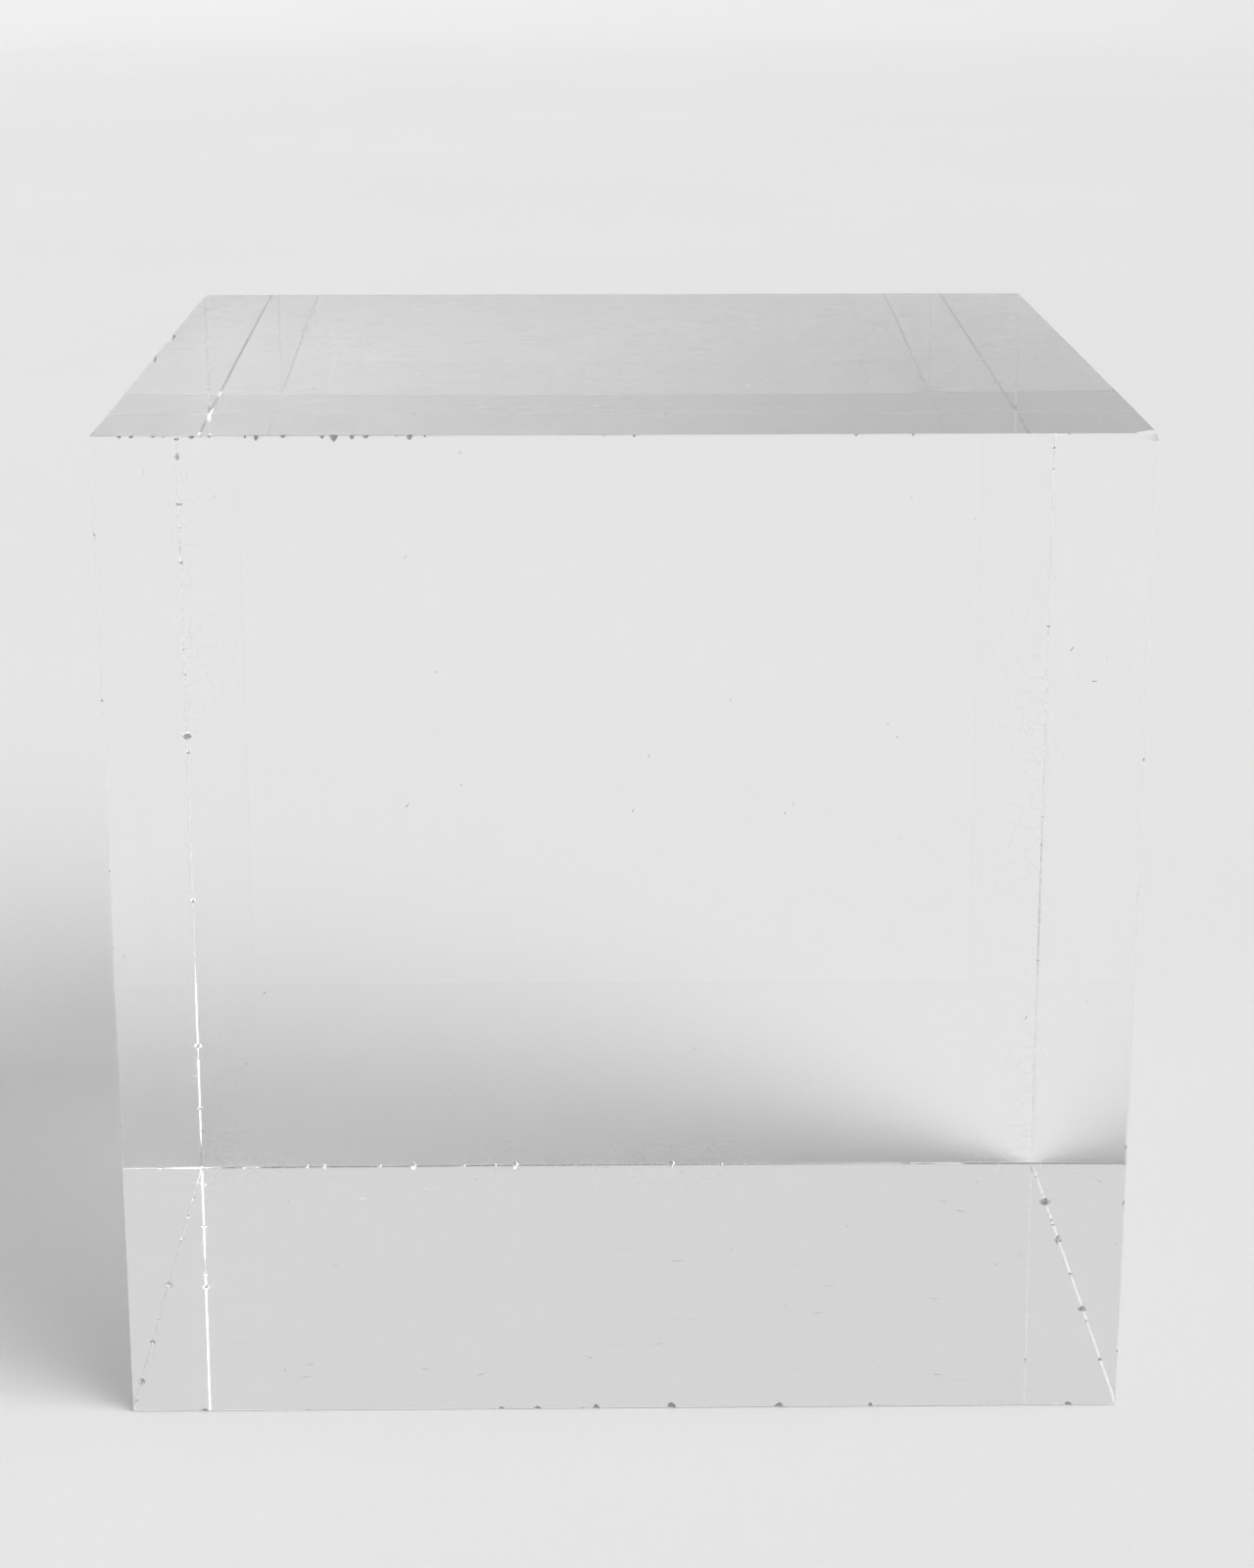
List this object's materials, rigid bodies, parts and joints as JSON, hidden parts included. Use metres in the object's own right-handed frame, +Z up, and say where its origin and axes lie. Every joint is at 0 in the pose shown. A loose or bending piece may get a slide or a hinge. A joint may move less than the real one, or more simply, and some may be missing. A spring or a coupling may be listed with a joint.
{
  "type": "display block",
  "caption": "Clear solid acrylic display cube with polished faces and finely broken edges; small exhibits stand on its flat top.",
  "frame": {"origin": "centre of the base face, which the block stands on", "axes": "+Z up, out of the top face; +X to the right and +Y to the back as the front face is looked at"},
  "size_m": [0.08, 0.08, 0.08],
  "materials": {
    "clear_acrylic": "polished clear cast acrylic"
  },
  "bodies": {
    "root": {"acrylic_block": "clear_acrylic"}
  },
  "joints": []
}
